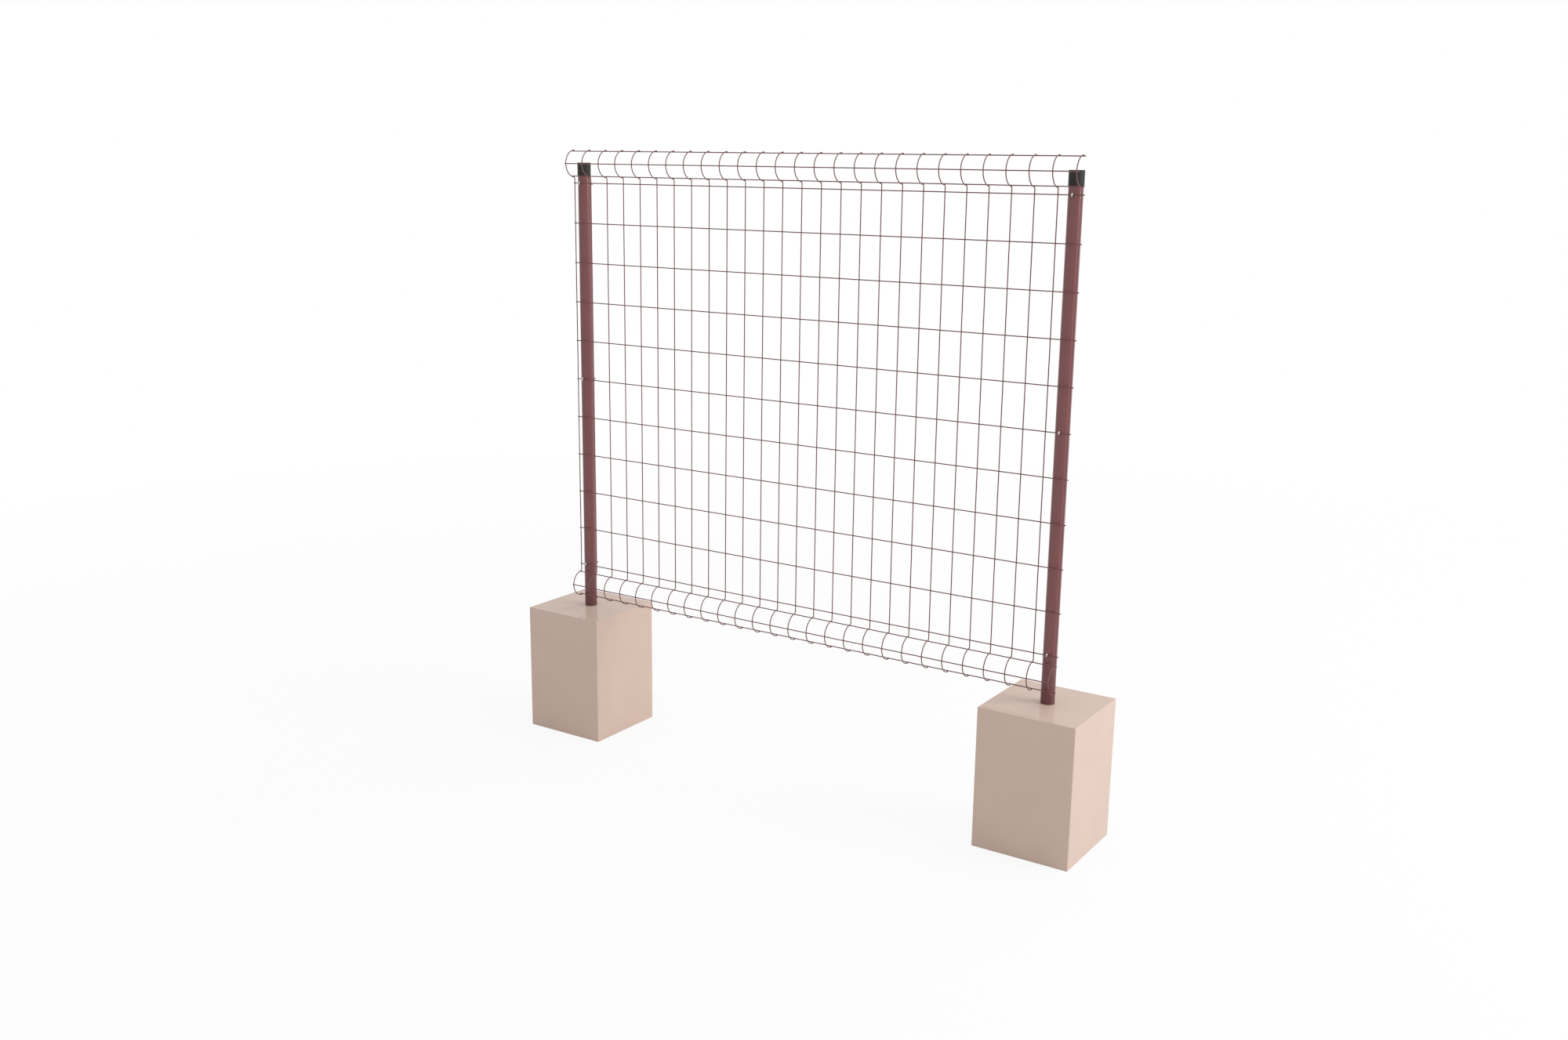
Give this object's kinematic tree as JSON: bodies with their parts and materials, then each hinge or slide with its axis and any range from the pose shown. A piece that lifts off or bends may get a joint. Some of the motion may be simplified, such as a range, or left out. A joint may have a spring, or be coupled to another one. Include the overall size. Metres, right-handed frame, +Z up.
{
  "type": "solar farm fence bay",
  "caption": "Fence bay for a solar farm: welded wire panel with rolled top and bottom edges, hook-bolted to round capped posts set in square concrete footings.",
  "frame": {"origin": "on the ground, midway between the two post axes, at the centre of the footings' undersides", "axes": "+X along the fence, left to right seen from the rolled side; +Y from the rolled side to the post side; +Z up"},
  "size_m": [2.35, 0.35, 2.2977],
  "materials": {
    "concrete": "smooth cast concrete, pale pinkish beige",
    "post_paint": "satin red-brown powder coat",
    "wire_paint": "satin red-brown powder coat",
    "cap_plastic": "charcoal moulded plastic",
    "zinc": "zinc plate"
  },
  "bodies": {
    "fence": {"left_footing": "concrete", "right_footing": "concrete", "left_post": "post_paint", "right_post": "post_paint", "post_washers": "zinc", "vertical_wire_01": "wire_paint", "vertical_wire_02": "wire_paint", "vertical_wire_03": "wire_paint", "vertical_wire_04": "wire_paint", "vertical_wire_05": "wire_paint", "vertical_wire_06": "wire_paint", "vertical_wire_07": "wire_paint", "vertical_wire_08": "wire_paint", "vertical_wire_09": "wire_paint", "vertical_wire_10": "wire_paint", "vertical_wire_11": "wire_paint", "vertical_wire_12": "wire_paint", "vertical_wire_13": "wire_paint", "vertical_wire_14": "wire_paint", "vertical_wire_15": "wire_paint", "vertical_wire_16": "wire_paint", "vertical_wire_17": "wire_paint", "vertical_wire_18": "wire_paint", "vertical_wire_19": "wire_paint", "vertical_wire_20": "wire_paint", "vertical_wire_21": "wire_paint", "vertical_wire_22": "wire_paint", "vertical_wire_23": "wire_paint", "vertical_wire_24": "wire_paint", "vertical_wire_25": "wire_paint", "vertical_wire_26": "wire_paint", "vertical_wire_27": "wire_paint", "line_wire_01": "wire_paint", "line_wire_02": "wire_paint", "line_wire_03": "wire_paint", "line_wire_04": "wire_paint", "line_wire_05": "wire_paint", "line_wire_06": "wire_paint", "line_wire_07": "wire_paint", "line_wire_08": "wire_paint", "line_wire_09": "wire_paint", "line_wire_10": "wire_paint", "line_wire_11": "wire_paint", "top_roll_wires": "wire_paint", "bottom_roll_wires": "wire_paint"},
    "left_cap": {"left_post_cap": "cap_plastic"},
    "right_cap": {"right_post_cap": "cap_plastic"},
    "left_top_hook": {"left_top_hook_bolt": "zinc"},
    "left_top_nut": {"left_top_nut": "zinc"},
    "left_middle_hook": {"left_middle_hook_bolt": "zinc"},
    "left_middle_nut": {"left_middle_nut": "zinc"},
    "left_bottom_hook": {"left_bottom_hook_bolt": "zinc"},
    "left_bottom_nut": {"left_bottom_nut": "zinc"},
    "right_top_hook": {"right_top_hook_bolt": "zinc"},
    "right_top_nut": {"right_top_nut": "zinc"},
    "right_middle_hook": {"right_middle_hook_bolt": "zinc"},
    "right_middle_nut": {"right_middle_nut": "zinc"},
    "right_bottom_hook": {"right_bottom_hook_bolt": "zinc"},
    "right_bottom_nut": {"right_bottom_nut": "zinc"}
  },
  "joints": [
    {"name": "left_cap_lift", "type": "slide", "parent": "fence", "child": "left_cap", "axis": [0, 0, 1], "range_m": [0, 0.06]},
    {"name": "right_cap_lift", "type": "slide", "parent": "fence", "child": "right_cap", "axis": [0, 0, 1], "range_m": [0, 0.06]},
    {"name": "left_top_nut_turn", "type": "hinge", "parent": "fence", "child": "left_top_nut", "pos_m": [-1, 0.0281, 2.16932], "axis": [0, 1, 0], "range_deg": [0, 1440]},
    {"name": "left_top_hook_slide", "type": "slide", "parent": "fence", "child": "left_top_hook", "axis": [0, -1, 0], "range_m": [0, 0.004]},
    {"name": "left_middle_nut_turn", "type": "hinge", "parent": "fence", "child": "left_middle_nut", "pos_m": [-1, 0.0281, 1.41932], "axis": [0, 1, 0], "range_deg": [0, 1440]},
    {"name": "left_middle_hook_slide", "type": "slide", "parent": "fence", "child": "left_middle_hook", "axis": [0, -1, 0], "range_m": [0, 0.004]},
    {"name": "left_bottom_nut_turn", "type": "hinge", "parent": "fence", "child": "left_bottom_nut", "pos_m": [-1, 0.0281, 0.66932], "axis": [0, 1, 0], "range_deg": [0, 1440]},
    {"name": "left_bottom_hook_slide", "type": "slide", "parent": "fence", "child": "left_bottom_hook", "axis": [0, -1, 0], "range_m": [0, 0.004]},
    {"name": "right_top_nut_turn", "type": "hinge", "parent": "fence", "child": "right_top_nut", "pos_m": [1, 0.0281, 2.16932], "axis": [0, 1, 0], "range_deg": [0, 1440]},
    {"name": "right_top_hook_slide", "type": "slide", "parent": "fence", "child": "right_top_hook", "axis": [0, -1, 0], "range_m": [0, 0.004]},
    {"name": "right_middle_nut_turn", "type": "hinge", "parent": "fence", "child": "right_middle_nut", "pos_m": [1, 0.0281, 1.41932], "axis": [0, 1, 0], "range_deg": [0, 1440]},
    {"name": "right_middle_hook_slide", "type": "slide", "parent": "fence", "child": "right_middle_hook", "axis": [0, -1, 0], "range_m": [0, 0.004]},
    {"name": "right_bottom_nut_turn", "type": "hinge", "parent": "fence", "child": "right_bottom_nut", "pos_m": [1, 0.0281, 0.66932], "axis": [0, 1, 0], "range_deg": [0, 1440]},
    {"name": "right_bottom_hook_slide", "type": "slide", "parent": "fence", "child": "right_bottom_hook", "axis": [0, -1, 0], "range_m": [0, 0.004]}
  ],
  "couplings": [
    {"joint": "left_top_nut_turn", "follows": "left_top_hook_slide", "rad_per_m": 6283.2},
    {"joint": "left_middle_nut_turn", "follows": "left_middle_hook_slide", "rad_per_m": 6283.2},
    {"joint": "left_bottom_nut_turn", "follows": "left_bottom_hook_slide", "rad_per_m": 6283.2},
    {"joint": "right_top_nut_turn", "follows": "right_top_hook_slide", "rad_per_m": 6283.2},
    {"joint": "right_middle_nut_turn", "follows": "right_middle_hook_slide", "rad_per_m": 6283.2},
    {"joint": "right_bottom_nut_turn", "follows": "right_bottom_hook_slide", "rad_per_m": 6283.2}
  ]
}
